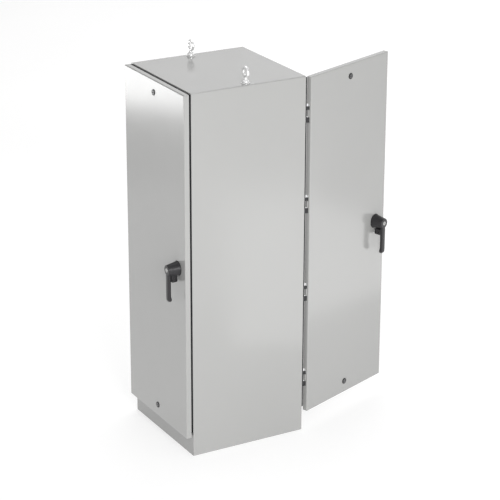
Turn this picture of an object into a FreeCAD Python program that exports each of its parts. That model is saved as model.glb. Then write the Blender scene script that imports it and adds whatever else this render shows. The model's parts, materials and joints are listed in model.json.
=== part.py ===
"""Free-standing dual-access automatic transfer switch, all sizes in millimetres.

The frame's origin is on the floor at the centre of the cabinet. +Z is up, the front
door faces -Y and the rear door faces +Y. The front door is closed and the rear door
stands open.
"""
import math
import os

import FreeCAD, Part

# Cabinet
WIDTH = 610.0
DEPTH = 610.0
HEIGHT = 1829.0
SHEET = 2.7
BEND = 6.0
PLINTH = 98.0
FRAME_FLANGE = 36.0
FRAME_LIP = 25.0
CLEAR = 0.3

# Doors
DOOR_GAP = 9.5
DOOR_THICK = 26.5
DOOR_SIDE_INSET = 1.7
DOOR_TOP_INSET = 4.8
DOOR_BEND = 4.5
REAR_DOOR_OPEN = 69.4

# Hinges
HINGE_INSET = 4.0
HINGE_OUT = 20.5
HINGE_FIRST_Z = 278.5
HINGE_PITCH = 455.0
HINGE_COUNT = 4
KNUCKLE_R = 4.5
PIN_R = 2.95
PIN_BORE_R = 3.0
HINGE_HALF = 44.5
DOOR_KNUCKLE_HALF = 17.5

# Door handle and its three-point latch
HANDLE_FROM_EDGE = 75.0
HANDLE_Z = 961.0
SPINDLE_R = 8.0
SPINDLE_BORE_R = 8.05
BASE_R = 35.0
BASE_TOP_R = 28.3
BASE_HIGH = 38.0
HUB_R = 24.5
HANDLE_HIGH = 60.0
LEVER_LONG = 160.0
LEVER_FACE = 59.5
LEVER_THICK = 18.0
LEVER_WIDE = 25.0
LEVER_END = 30.0
LEVER_STEPS = 10
TIP_ROUND = 12.0
TOE_REACH = 5.0
TOE_ROUND = 8.0
KEY_R = 10.0
KEY_BORE_R = 10.05
KEY_DEEP = 12.0
CAM_BEHIND = 3.3
CAM_THICK = 4.0
CAM_PIN_OFFSET = 25.0 / math.sqrt(2)
CAM_PIN_R = 3.0
CAM_TONGUE = 52.0
ROD_X_OFFSET = (25.0 + CAM_PIN_OFFSET) / 2
ROD_WIDE = 12.0
ROD_THICK = 3.0
ROD_STROKE = 2 * CAM_PIN_OFFSET
ROD_OVERLAP = 18.0

# Quarter-turn latches at the top and bottom of each door
LATCH_FROM_END = 61.0
LATCH_TONGUE = 42.0

# Equipment panel across the middle of the cabinet
PANEL_Y = 40.0
PANEL_THICK = 3.0
PANEL_HALF_X = 270.0
PANEL_Z0 = 170.0
PANEL_Z1 = 1730.0

# Transfer switch mechanism
POLE_PITCH = 110.0
POLES = (-1, 0, 1)
SWITCH_Z = 1070.0
SWITCH_HALF_X = 168.0
SWITCH_HALF_Z = 220.0
SWITCH_DEEP = 70.0
SHAFT_Y = -75.0
SHAFT_R = 11.0
SHAFT_BORE_R = 11.05
SHAFT_SWING = 40.0
CRANK_R = 30.0

# Bus bars
BAR_WIDE = 50.0
BAR_THICK = 8.0
LINE_BAR_Y = 112.0
LOAD_BAR_Y = 160.0

HALF_X = WIDTH / 2
HALF_Y = DEPTH / 2
FLANGE_BACK = HALF_Y - SHEET
OPEN_X = HALF_X - SHEET - FRAME_FLANGE
OPEN_Z0 = PLINTH + SHEET + FRAME_FLANGE
OPEN_Z1 = HEIGHT - SHEET - FRAME_FLANGE
DOOR_X = HALF_X - DOOR_SIDE_INSET
DOOR_Z0 = PLINTH
DOOR_Z1 = HEIGHT - DOOR_TOP_INSET
DOOR_INNER_Y = HALF_Y + DOOR_GAP
DOOR_OUTER_Y = DOOR_INNER_Y + DOOR_THICK
SKIN_BACK_Y = DOOR_OUTER_Y - SHEET
HINGE_X = HALF_X - HINGE_INSET
HINGE_Y = HALF_Y + HINGE_OUT
HINGE_ZS = [HINGE_FIRST_Z + HINGE_PITCH * i for i in range(HINGE_COUNT)]
HANDLE_X = DOOR_X - HANDLE_FROM_EDGE
CAM_FRONT_Y = FLANGE_BACK - CAM_BEHIND
CAM_BACK_Y = CAM_FRONT_Y - CAM_THICK
ROD_FRONT_Y = CAM_BACK_Y - 0.5
ROD_BACK_Y = ROD_FRONT_Y - ROD_THICK
LATCH_ZS = (DOOR_Z0 + LATCH_FROM_END, DOOR_Z1 - LATCH_FROM_END)
PANEL_BACK = PANEL_Y + PANEL_THICK

Z_AXIS = FreeCAD.Vector(0, 0, 1)
ORIGIN = FreeCAD.Vector(0, 0, 0)


# ---------------------------------------------------------------- building blocks
def vec(x, y, z):
    return FreeCAD.Vector(x, y, z)


def box(x0, x1, y0, y1, z0, z1):
    low = vec(min(x0, x1), min(y0, y1), min(z0, z1))
    return Part.makeBox(abs(x1 - x0), abs(y1 - y0), abs(z1 - z0), low)


def cylinder(radius, start, end):
    start, end = vec(*start), vec(*end)
    return Part.makeCylinder(radius, (end - start).Length, start, end - start)


def cone(radius_0, radius_1, start, end):
    start, end = vec(*start), vec(*end)
    return Part.makeCone(radius_0, radius_1, (end - start).Length, start, end - start)


def prism(points, direction):
    """A closed outline of points swept along a straight direction."""
    outline = [vec(*p) for p in points]
    face = Part.Face(Part.makePolygon(outline + outline[:1]))
    return face.extrude(vec(*direction))


def hexagon(across_flats, centre, axis, high):
    """A hexagonal prism that starts at centre and runs along axis (x, y or z)."""
    radius = across_flats / math.sqrt(3)
    outline = []
    for i in range(6):
        a, b = radius * math.cos(math.pi * i / 3), radius * math.sin(math.pi * i / 3)
        x, y, z = centre
        outline.append({"x": (x, y + a, z + b), "y": (x + a, y, z + b), "z": (x + a, y + b, z)}[axis])
    step = {"x": (high, 0, 0), "y": (0, high, 0), "z": (0, 0, high)}[axis]
    return prism(outline, step)


def fuse(*shapes):
    whole = shapes[0]
    for shape in shapes[1:]:
        whole = whole.fuse(shape)
    return whole.removeSplitter()


def cut(shape, *tools):
    for tool in tools:
        shape = shape.cut(tool)
    return shape


def edges_where(shape, test):
    return [edge for edge in shape.Edges if test(edge)]


def runs_along(edge, axis):
    """True for a straight edge parallel to the axis."""
    if len(edge.Vertexes) != 2 or edge.Curve.TypeId != "Part::GeomLine":
        return False
    return abs(abs(edge.Curve.Direction.dot(axis)) - 1) < 1e-6


def ring_box(half_x, z0, z1, border, y0, y1):
    """A rectangular frame in the XZ plane, border wide."""
    inner = box(-half_x + border, half_x - border, y0 - 1, y1 + 1, z0 + border, z1 - border)
    return cut(box(-half_x, half_x, y0, y1, z0, z1), inner)


def bolt(across_flats, shank_r, head_at, axis, head_high, shank_long):
    """A hexagon head whose shank runs the other way, into what it holds."""
    x, y, z = head_at
    unit = {"x": (1, 0, 0), "y": (0, 1, 0), "z": (0, 0, 1)}[axis]
    sign = math.copysign(1, head_high)
    tip = tuple(c - sign * shank_long * u for c, u in zip((x, y, z), unit))
    return fuse(hexagon(across_flats, head_at, axis, head_high), cylinder(shank_r, head_at, tip))


def turned_to_rear(shape):
    """The same piece on the other face of the cabinet."""
    turned = shape.copy()
    turned.rotate(ORIGIN, Z_AXIS, 180)
    return turned


def on_rear_door(shape):
    """A front-door piece carried to the rear door, which stands open."""
    turned = turned_to_rear(shape)
    turned.rotate(vec(HINGE_X, HINGE_Y, 0), Z_AXIS, -REAR_DOOR_OPEN)
    return turned


def export(node, *shapes):
    solids = [solid for shape in shapes for solid in shape.Solids]
    whole = solids[0] if len(solids) == 1 else Part.makeCompound(solids)
    whole.exportStep(f"parts/{node}.step")
    print(f"{node}: {len(solids)} solid(s), valid {whole.isValid()}")


# ---------------------------------------------------------------- cabinet shell
EYE_X = 269.0
EYE_WASHER_R = 21.0
EYE_WASHER = 2.5
EYE_COLLAR_R = 18.0
EYE_COLLAR = 11.0
EYE_RING_R = 21.0
EYE_WIRE_R = 7.5
EYE_TOP = 82.0
EYE_SHANK_R = 7.9
EYE_HOLE_R = 8.5
EYE_NUT_FLATS = 24.0
EYE_NUT = 13.0


def body_wrap():
    """Both sides and the top, folded from one sheet."""
    outer = box(-HALF_X, HALF_X, -HALF_Y, HALF_Y, 0, HEIGHT)
    inner = box(-HALF_X + SHEET, HALF_X - SHEET, -HALF_Y - 1, HALF_Y + 1, -1, HEIGHT - SHEET)

    def top_fold(edge):
        return runs_along(edge, vec(0, 1, 0)) and edge.CenterOfMass.z > HEIGHT / 2

    outer = outer.makeFillet(BEND, edges_where(outer, top_fold))
    inner = inner.makeFillet(BEND - SHEET, edges_where(inner, top_fold))
    holes = [cylinder(EYE_HOLE_R, (x, 0, HEIGHT - 10), (x, 0, HEIGHT + 10)) for x in (-EYE_X, EYE_X)]
    return cut(outer, inner, *holes)


def opening_frame():
    """The front frame: a flange in the door plane, with a rain lip round the opening."""
    side = HALF_X - SHEET
    flange = box(-side, side, -HALF_Y, -FLANGE_BACK, PLINTH, HEIGHT - SHEET)

    def top_corner(edge):
        return runs_along(edge, vec(0, 1, 0)) and edge.CenterOfMass.z > HEIGHT / 2

    flange = flange.makeFillet(BEND - SHEET + CLEAR, edges_where(flange, top_corner))
    flange = flange.cut(box(-OPEN_X, OPEN_X, -HALF_Y - 1, -FLANGE_BACK + 1, OPEN_Z0, OPEN_Z1))
    lip = ring_box(OPEN_X + SHEET, OPEN_Z0 - SHEET, OPEN_Z1 + SHEET, SHEET, -HALF_Y - FRAME_LIP, -FLANGE_BACK)
    return fuse(flange, lip)


GLAND_HALF = 210.0
GLAND_THICK = 3.0
PLINTH_FOOT = 62.0
FLOOR_BOLT_X = 250.0
FLOOR_BOLT_Y = 272.0
FLOOR_BOLT_R = 7.0


def floor_pan():
    """The welded floor sheet and the removable gland plate screwed on top of it."""
    side = HALF_X - SHEET
    pan = box(-side, side, -FLANGE_BACK, FLANGE_BACK, PLINTH, PLINTH + SHEET)
    top = PLINTH + SHEET
    plate = box(-GLAND_HALF, GLAND_HALF, -GLAND_HALF, GLAND_HALF, top, top + GLAND_THICK)
    plate = plate.makeFillet(12, edges_where(plate, lambda e: runs_along(e, Z_AXIS)))
    screws = []
    for sx in (-1, 0, 1):
        for sy in (-1, 0, 1):
            if sx or sy:
                at = (sx * (GLAND_HALF - 14), sy * (GLAND_HALF - 14), top + GLAND_THICK)
                screws.append(hexagon(10, at, "z", 5))
    return [pan, plate] + screws


def plinth_panels():
    """Toe boards at the front and rear, each with an inward foot that bolts to the floor."""
    side = HALF_X - SHEET
    board = box(-side, side, -HALF_Y, -FLANGE_BACK, 0, PLINTH)
    foot = box(-side, side, -HALF_Y, -HALF_Y + PLINTH_FOOT, 0, SHEET)
    front = fuse(board, foot)
    for x in (-FLOOR_BOLT_X, FLOOR_BOLT_X):
        front = front.cut(cylinder(FLOOR_BOLT_R, (x, -FLOOR_BOLT_Y, -1), (x, -FLOOR_BOLT_Y, SHEET + 1)))
    return [front, turned_to_rear(front)]


def lifting_eyes():
    """Forged eye bolts through the top, each with its washer and a nut underneath."""
    pieces = []
    for x in (-EYE_X, EYE_X):
        washer_top = HEIGHT + EYE_WASHER
        collar_top = washer_top + EYE_COLLAR
        ring_z = HEIGHT + EYE_TOP - EYE_RING_R - EYE_WIRE_R
        washer = cylinder(EYE_WASHER_R, (x, 0, HEIGHT), (x, 0, washer_top))
        washer = washer.cut(cylinder(EYE_SHANK_R, (x, 0, HEIGHT - 1), (x, 0, washer_top + 1)))
        collar = cylinder(EYE_COLLAR_R, (x, 0, washer_top), (x, 0, collar_top))
        collar = collar.makeFillet(2, collar.Edges)
        neck = cone(13.5, 9, (x, 0, collar_top - 2), (x, 0, ring_z - EYE_RING_R + 1))
        ring = Part.makeTorus(EYE_RING_R, EYE_WIRE_R, vec(x, 0, ring_z), vec(0, 1, 0))
        shank = cylinder(EYE_SHANK_R, (x, 0, HEIGHT - 26), (x, 0, washer_top + 3))
        nut_z = HEIGHT - SHEET - EYE_NUT
        nut = hexagon(EYE_NUT_FLATS, (x, 0, nut_z), "z", EYE_NUT)
        nut = nut.cut(cylinder(EYE_SHANK_R, (x, 0, nut_z - 1), (x, 0, HEIGHT)))
        pieces += [washer, fuse(collar, neck, ring, shank), nut]
    return pieces


# ---------------------------------------------------------------- hinges
LEAF_THICK = 3.0
LEAF_WIDE = 28.0
ARM_THICK = 4.0
DOOR_LEAF_WIDE = 22.0
DOOR_LEAF_HALF = 30.0
PIN_HEAD = 9.0


def knuckle(z0, z1):
    """A barrel round the front hinge axis, solid until it is bored."""
    return cylinder(KNUCKLE_R, (-HINGE_X, -HINGE_Y, z0), (-HINGE_X, -HINGE_Y, z1))


def pin_bore(z):
    tall = HINGE_HALF + 5
    return cylinder(PIN_BORE_R, (-HINGE_X, -HINGE_Y, z - tall), (-HINGE_X, -HINGE_Y, z + tall))


def arm_spans(z):
    """The two runs of height that the body's knuckles take at one hinge."""
    near = DOOR_KNUCKLE_HALF + 1
    return (z - HINGE_HALF, z - near), (z + near, z + HINGE_HALF - PIN_HEAD)


def body_leaf(z):
    """Foot on the frame flange, with a knuckle on an arm at each end."""
    leaf = box(-HINGE_X + 1, -HINGE_X + LEAF_WIDE, -HALF_Y - LEAF_THICK, -HALF_Y,
               z - HINGE_HALF, z + HINGE_HALF)
    for z0, z1 in arm_spans(z):
        arm = box(-HINGE_X - ARM_THICK / 2, -HINGE_X + ARM_THICK / 2, -HINGE_Y, -HALF_Y, z0, z1)
        leaf = fuse(leaf, arm, knuckle(z0, z1))
    return leaf.cut(pin_bore(z))


def door_leaf(z):
    """Middle knuckle on an arm, with a foot on the door skin and a cheek that bridges the notch."""
    z0, z1 = z - DOOR_KNUCKLE_HALF, z + DOOR_KNUCKLE_HALF
    cheek = box(-DOOR_X, -DOOR_X + SHEET, -HINGE_Y - KNUCKLE_R, -DOOR_INNER_Y, z0 + 0.5, z1 - 0.5)
    arm_x = -DOOR_X + DOOR_BEND
    arm = box(arm_x, arm_x + ARM_THICK, -SKIN_BACK_Y, -HINGE_Y + 2, z0, z1)
    foot = box(arm_x, arm_x + DOOR_LEAF_WIDE, -SKIN_BACK_Y, -SKIN_BACK_Y + LEAF_THICK,
               z - DOOR_LEAF_HALF, z + DOOR_LEAF_HALF)
    return fuse(knuckle(z0, z1), cheek, arm, foot).cut(pin_bore(z))


def hinge_pin(z):
    """A headed pin; its round head stands on a shoulder cut from the top knuckle."""
    head_z = z + HINGE_HALF - PIN_HEAD
    pin = cylinder(PIN_R, (-HINGE_X, -HINGE_Y, z - HINGE_HALF - 1), (-HINGE_X, -HINGE_Y, head_z + 1))
    head = cylinder(KNUCKLE_R - 0.3, (-HINGE_X, -HINGE_Y, head_z), (-HINGE_X, -HINGE_Y, head_z + PIN_HEAD))
    rim = edges_where(head, lambda e: abs(e.CenterOfMass.z - head_z - PIN_HEAD) < 0.01)
    return fuse(pin, head.makeFillet(2.5, rim))


# ---------------------------------------------------------------- frame seals
SEAL_WIDE = 9.0
SEAL_THICK = 8.8
SEAL_Z0 = OPEN_Z0 - SHEET - SEAL_WIDE - 0.5
SEAL_ROUND = 3.5


def frame_seal():
    """A moulded strip on the frame flange that fills the gap behind the door's returns."""
    front = -HALF_Y - SEAL_THICK
    seal = ring_box(HALF_X - SHEET, SEAL_Z0, DOOR_Z1 - 2, SEAL_WIDE, front, -HALF_Y)
    seal = seal.makeFillet(SEAL_ROUND, edges_where(seal, lambda e: abs(e.CenterOfMass.y - front) < 0.01))
    arm_side = -HINGE_X + ARM_THICK / 2 + CLEAR
    for z in HINGE_ZS:
        seal = seal.cut(box(-HINGE_X + 1 - CLEAR, -OPEN_X, -HALF_Y - LEAF_THICK - CLEAR, -HALF_Y + 1,
                            z - HINGE_HALF - CLEAR, z + HINGE_HALF + CLEAR))
        for z0, z1 in arm_spans(z):
            seal = seal.cut(box(-HALF_X, arm_side, front - 1, -HALF_Y + 1, z0 - CLEAR, z1 + CLEAR))
    return seal


# ---------------------------------------------------------------- door sheet metal
GASKET_HALF = 7.0
STIFFENER_WIDE = 44.0
STIFFENER_DEEP = 22.0
STIFFENER_XS = (-200.0, 130.0)
GUIDE_HALF_X = 10.0
GUIDE_HALF_Z = 7.0
GUIDE_ZS = {"upper": (1290.0, 1700.0), "lower": (230.0, 640.0)}
HANDLE_HOLE_R = 15.3
LATCH_HOLE_R = 10.3


def door_tray(inset, bend):
    """A closed tray block, later hollowed; inset moves every outer face inwards."""
    x, z0, z1 = DOOR_X - inset, DOOR_Z0 + inset, DOOR_Z1 - inset
    back = -DOOR_INNER_Y + (5 if inset else 0)
    tray = box(-x, x, -DOOR_OUTER_Y + inset, back, z0, z1)

    def folded(edge):
        at_front = abs(edge.CenterOfMass.y + DOOR_OUTER_Y - inset) < 0.01
        return at_front or runs_along(edge, vec(0, 1, 0))

    return tray.makeFillet(bend, edges_where(tray, folded))


def door_panel():
    """One folded sheet with returns on all four sides, notched round the hinges."""
    panel = door_tray(0, DOOR_BEND).cut(door_tray(SHEET, DOOR_BEND - SHEET))
    notch_deep = HINGE_Y + KNUCKLE_R + 0.5
    for z in HINGE_ZS:
        z0, z1 = z - HINGE_HALF - 1.5, z + HINGE_HALF + 1.5
        panel = panel.cut(box(-DOOR_X - 1, -DOOR_X + SHEET + 0.01, -notch_deep, -DOOR_INNER_Y + 1, z0, z1))
    holes = [(HANDLE_HOLE_R, HANDLE_X, HANDLE_Z)] + [(LATCH_HOLE_R, 0, z) for z in LATCH_ZS]
    for radius, x, z in holes:
        panel = panel.cut(cylinder(radius, (x, -DOOR_OUTER_Y - 1, z), (x, -SKIN_BACK_Y + 1, z)))
    return panel


def door_gasket():
    """A foam strip on the door skin that meets the rain lip."""
    middle = OPEN_X + SHEET / 2
    z_out = SHEET / 2 + GASKET_HALF
    return ring_box(middle + GASKET_HALF, OPEN_Z0 - z_out, OPEN_Z1 + z_out, 2 * GASKET_HALF,
                    -SKIN_BACK_Y, -HALF_Y - FRAME_LIP - CLEAR)


def stiffener(x):
    """A hat section welded to the door skin, open at both ends."""
    half = STIFFENER_WIDE / 2
    z0, z1 = OPEN_Z0 + 60, OPEN_Z1 - 60
    front, back = -SKIN_BACK_Y, -SKIN_BACK_Y + STIFFENER_DEEP
    hat = box(x - half, x + half, front, back, z0, z1)
    hollow = box(x - half + SHEET, x + half - SHEET, front - 1, back - SHEET, z0 - 1, z1 + 1)
    feet = [box(x + s * half, x + s * (half + 14), front, front + SHEET, z0, z1) for s in (-1, 1)]
    return fuse(hat.cut(hollow), *feet)


def rod_guide(x, z):
    """A stand-off on the door skin with a slot that the latch rod slides in."""
    front, back = -SKIN_BACK_Y, -ROD_BACK_Y + 4
    block = box(x - GUIDE_HALF_X, x + GUIDE_HALF_X, front, back, z - GUIDE_HALF_Z, z + GUIDE_HALF_Z)
    slot_half = ROD_WIDE / 2 + 0.4
    slot = box(x - slot_half, x + slot_half, -ROD_FRONT_Y - 0.4, -ROD_BACK_Y + 0.4, z - 20, z + 20)
    waist = box(x - slot_half, x + slot_half, front + 4, -ROD_FRONT_Y - 4, z - 20, z + 20)
    return cut(block, slot, waist)


def rod_x(which):
    return HANDLE_X + (ROD_X_OFFSET if which == "lower" else -ROD_X_OFFSET)


def door_brackets():
    guides = [rod_guide(rod_x(which), z) for which, zs in GUIDE_ZS.items() for z in zs]
    return [stiffener(x) for x in STIFFENER_XS] + guides


# ---------------------------------------------------------------- door handle
def handle_y(out):
    """Distance out from the door's outer face, as a y on the front door."""
    return -DOOR_OUTER_Y - out


HASP_HOLE_R = 4.0
HASP_HOLE_OUTS = (14.0, 30.0)
HASP_HOLE_DOWN = 52.5
HASP_LOW = 65.0
HASP_INNER = 6.0
HASP_THICK = 8.0
SHANK_R = 15.0
SHANK_IN = 11.0
NUT_FLATS = 40.0
NUT_HIGH = 8.0


def hasp_plate(side, reach, top):
    """A padlock plate under the handle, on one side of its middle, with two shackle holes."""
    x0, x1 = HANDLE_X + side * CLEAR, HANDLE_X + side * HASP_THICK
    plate = box(x0, x1, handle_y(HASP_INNER), handle_y(reach), HANDLE_Z - HASP_LOW, HANDLE_Z - top)

    def low_corner(edge):
        return runs_along(edge, vec(1, 0, 0)) and edge.CenterOfMass.z < HANDLE_Z - HASP_LOW + 1

    plate = plate.makeFillet(7, edges_where(plate, low_corner))
    for out in HASP_HOLE_OUTS:
        y, z = handle_y(out), HANDLE_Z - HASP_HOLE_DOWN
        plate = plate.cut(cylinder(HASP_HOLE_R, (HANDLE_X - 20, y, z), (HANDLE_X + 20, y, z)))
    return plate


def handle_base():
    """Tapered fixed housing with a padlock plate below it, and its nut behind the skin."""
    def on_axis(y):
        return (HANDLE_X, y, HANDLE_Z)

    housing = cone(BASE_R, BASE_TOP_R, on_axis(handle_y(0)), on_axis(handle_y(BASE_HIGH)))
    shank_end = -SKIN_BACK_Y + SHANK_IN
    shank = cylinder(SHANK_R, on_axis(handle_y(0)), on_axis(shank_end))
    bore = cylinder(SPINDLE_BORE_R, on_axis(shank_end + 1), on_axis(handle_y(BASE_HIGH + 1)))
    housing = fuse(housing, hasp_plate(1, BASE_HIGH, 20), shank).cut(bore)
    nut = hexagon(NUT_FLATS, on_axis(-SKIN_BACK_Y), "y", NUT_HIGH)
    nut = nut.cut(cylinder(SHANK_R, on_axis(-SKIN_BACK_Y - 1), on_axis(-SKIN_BACK_Y + NUT_HIGH + 1)))
    return [housing, nut]


def rounded_section(out, thick, wide, down):
    """A level rounded rectangle across the lever, down below the spindle."""
    radius = 0.36 * thick
    x0, x1 = HANDLE_X - wide / 2, HANDLE_X + wide / 2
    y0, y1 = handle_y(out + thick / 2), handle_y(out - thick / 2)
    z = HANDLE_Z - down
    block = box(x0, x1, y0, y1, z, z + 1)
    block = block.makeFillet(radius, edges_where(block, lambda e: runs_along(e, Z_AXIS)))
    base = [face for face in block.Faces if abs(face.CenterOfMass.z - z) < 1e-6][0]
    return base.OuterWire


def rounded_end(down, length):
    """How much of a round end this long is gone at a height: 0 where it starts, 1 at the tip."""
    past = max(0.0, down - LEVER_LONG + length) / length
    return 1 - math.sqrt(max(0.0, 1 - past * past))


def lever_arm():
    """The grip: a straight bar, flush with the hub, whose rounded tip has a toe towards the door."""
    turns = [math.pi / 2 * step / LEVER_STEPS for step in range(LEVER_STEPS + 1)]
    sections = []
    for down in [0.0] + [LEVER_LONG - LEVER_END * (1 - math.sin(turn)) for turn in turns]:
        share = min(1.0, max(0.0, down - LEVER_LONG + LEVER_END) / (LEVER_END - TOE_ROUND))
        toe = TOE_REACH * share * share * (3 - 2 * share)
        face = LEVER_FACE - TIP_ROUND * rounded_end(down, TIP_ROUND)
        back = LEVER_FACE - LEVER_THICK - toe + TOE_ROUND / 2 * rounded_end(down, TOE_ROUND)
        wide = LEVER_WIDE - TIP_ROUND * rounded_end(down, TIP_ROUND)
        sections.append(rounded_section((face + back) / 2, face - back, wide, down))
    return Part.makeLoft(sections, True, True)


def handle_lever():
    """Lever, hub and spindle; the hub is bored for the key cylinder."""
    def on_axis(y):
        return (HANDLE_X, y, HANDLE_Z)

    hub = cone(BASE_TOP_R, HUB_R, on_axis(handle_y(BASE_HIGH + CLEAR)), on_axis(handle_y(HANDLE_HIGH)))
    rim = edges_where(hub, lambda e: abs(e.CenterOfMass.y - handle_y(HANDLE_HIGH)) < 0.01)
    hub = hub.makeFillet(3, rim)
    spindle = cylinder(SPINDLE_R, on_axis(handle_y(BASE_HIGH + 4)), on_axis(-CAM_BACK_Y + 6))
    lever = fuse(hub, lever_arm(), spindle, hasp_plate(-1, BASE_HIGH + 9, BASE_R + 1.5))
    recess_back = handle_y(HANDLE_HIGH - KEY_DEEP)
    return lever.cut(cylinder(KEY_BORE_R, on_axis(handle_y(HANDLE_HIGH + 1)), on_axis(recess_back)))


def key_lock():
    """The key cylinder in the middle of the hub, with its keyway."""
    face_y, back_y = handle_y(HANDLE_HIGH + 0.8), handle_y(HANDLE_HIGH - KEY_DEEP + CLEAR)
    plug = cylinder(KEY_R, (HANDLE_X, back_y, HANDLE_Z), (HANDLE_X, face_y, HANDLE_Z))
    rim = edges_where(plug, lambda e: abs(e.CenterOfMass.y - face_y) < 0.01)
    plug = plug.makeFillet(0.7, rim)
    keyway = box(HANDLE_X - 1.2, HANDLE_X + 1.2, face_y - 1, face_y + 6, HANDLE_Z - 5, HANDLE_Z + 5)
    return plug.cut(keyway)


def latch_cam():
    """Plate on the spindle: a tongue for the door's edge and a pin for each rod."""
    y0, y1 = -CAM_FRONT_Y, -CAM_BACK_Y
    disc = cylinder(CAM_PIN_OFFSET * math.sqrt(2) + 7, (HANDLE_X, y0, HANDLE_Z), (HANDLE_X, y1, HANDLE_Z))
    tongue = box(HANDLE_X - 11, HANDLE_X + 11, y0, y1, HANDLE_Z, HANDLE_Z + CAM_TONGUE)
    hole = cylinder(SPINDLE_R, (HANDLE_X, y0 - 1, HANDLE_Z), (HANDLE_X, y1 + 1, HANDLE_Z))
    plate = fuse(disc, tongue).cut(hole)
    pins = []
    for side in (-1, 1):
        x, z = HANDLE_X + side * CAM_PIN_OFFSET, HANDLE_Z + side * CAM_PIN_OFFSET
        pins.append(cylinder(CAM_PIN_R, (x, y1 - 1, z), (x, -ROD_BACK_Y + 2, z)))
    return fuse(plate, *pins)


def latch_rod(which):
    """A flat bar from the cam to the door's end, with a slotted foot that the cam pin drives."""
    side = 1 if which == "upper" else -1
    x = rod_x(which)
    pin_z = HANDLE_Z - side * CAM_PIN_OFFSET
    edge_z = OPEN_Z1 if which == "upper" else OPEN_Z0
    end_z = edge_z + side * (ROD_OVERLAP - ROD_STROKE)
    y0, y1 = -ROD_FRONT_Y, -ROD_BACK_Y
    foot_half = ROD_X_OFFSET - CAM_PIN_OFFSET + CAM_PIN_R + 4.0
    foot = box(x - foot_half, x + foot_half, y0, y1, pin_z - 9, pin_z + 9)
    bar = box(x - ROD_WIDE / 2, x + ROD_WIDE / 2, y0, y1, pin_z, end_z)
    slot_x = ROD_X_OFFSET - CAM_PIN_OFFSET + CAM_PIN_R + 0.4
    slot = box(x - slot_x, x + slot_x, y0 - 1, y1 + 1, pin_z - CAM_PIN_R - 0.9, pin_z + CAM_PIN_R + 0.9)
    return fuse(foot, bar).cut(slot)


def quarter_turn(z):
    """A round slotted head, a spindle through the skin and a tongue that lies flat when open."""
    head_r, head_high, stem_r = 15.0, 3.0, LATCH_HOLE_R - 0.3
    head = cylinder(head_r, (0, handle_y(0), z), (0, handle_y(head_high), z))
    rim = edges_where(head, lambda e: abs(e.CenterOfMass.y - handle_y(head_high)) < 0.01)
    head = head.makeFillet(1.4, rim)
    stem = cylinder(stem_r, (0, handle_y(0), z), (0, -SKIN_BACK_Y + 12, z))
    neck = cylinder(6, (0, -SKIN_BACK_Y + 11, z), (0, -CAM_BACK_Y + 5, z))
    tongue = box(-9, LATCH_TONGUE, -CAM_FRONT_Y, -CAM_BACK_Y, z - 9, z + 9)
    slot = box(-6.5, 6.5, handle_y(head_high) - 1, handle_y(head_high - 2.4), z - 1.3, z + 1.3)
    return fuse(head, stem, neck, tongue).cut(slot)


def document_pocket():
    """A moulded pocket for drawings on the back of the front door, open at the top."""
    x0, x1, z0, z1 = -160.0, 90.0, 760.0, 1010.0
    y0 = -SKIN_BACK_Y + STIFFENER_DEEP
    pocket = box(x0, x1, y0, y0 + 26, z0, z1)
    return pocket.cut(box(x0 + 2.5, x1 - 2.5, y0 + 2.5, y0 + 23.5, z0 + 2.5, z1 + 1))


# ---------------------------------------------------------------- equipment panel
RAIL_DEEP = 55.0
SCREW_X = 253.0
SCREW_ZS = (230.0, 710.0, 1190.0, 1670.0)
BUS_PASS_Z = 62.0


def panel_rails():
    """Angle rails welded to the cabinet sides, behind the panel."""
    side = HALF_X - SHEET
    z0, z1 = PANEL_Z0 - 20, PANEL_Z1 + 20
    rails = []
    for s in (-1, 1):
        wall = box(s * (side - SHEET), s * side, PANEL_BACK, PANEL_BACK + RAIL_DEEP, z0, z1)
        face = box(s * (side - 70), s * side, PANEL_BACK, PANEL_BACK + SHEET, z0, z1)
        rail = fuse(wall, face)
        for z in SCREW_ZS:
            rail = rail.cut(cylinder(4.2, (s * SCREW_X, PANEL_BACK - 1, z), (s * SCREW_X, PANEL_BACK + 5, z)))
        rails.append(rail)
    return rails


def mounting_panel():
    """The steel panel with folded top and bottom edges and windows for the switch's rear studs."""
    panel = box(-PANEL_HALF_X, PANEL_HALF_X, PANEL_Y, PANEL_BACK, PANEL_Z0, PANEL_Z1)
    for z0 in (PANEL_Z0, PANEL_Z1 - PANEL_THICK):
        panel = fuse(panel, box(-PANEL_HALF_X, PANEL_HALF_X, PANEL_Y - 18, PANEL_Y + 1, z0, z0 + PANEL_THICK))
    for sz in (-1, 0, 1):
        z = SWITCH_Z + sz * STUD_PITCH
        panel = panel.cut(box(-SWITCH_HALF_X + 14, SWITCH_HALF_X - 14, PANEL_Y - 1, PANEL_BACK + 1,
                              z - BUS_PASS_Z / 2, z + BUS_PASS_Z / 2))
    for s in (-1, 1):
        for z in SCREW_ZS:
            panel = panel.cut(cylinder(4.2, (s * SCREW_X, PANEL_Y - 1, z), (s * SCREW_X, PANEL_BACK + 1, z)))
    return panel


def panel_screws():
    return [bolt(13, 4.0, (s * SCREW_X, PANEL_Y, z), "y", -5.5, 12) for s in (-1, 1) for z in SCREW_ZS]


# ---------------------------------------------------------------- transfer switch
STUD_PITCH = 150.0
FRAME_PLATE = 6.0
FRAME_PLATE_X = SWITCH_HALF_X + 1.0
CHUTE_Z = 108.0
CHUTE_SIZE = (82.0, 96.0, 92.0)


def pole_x(pole):
    return pole * POLE_PITCH


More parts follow.
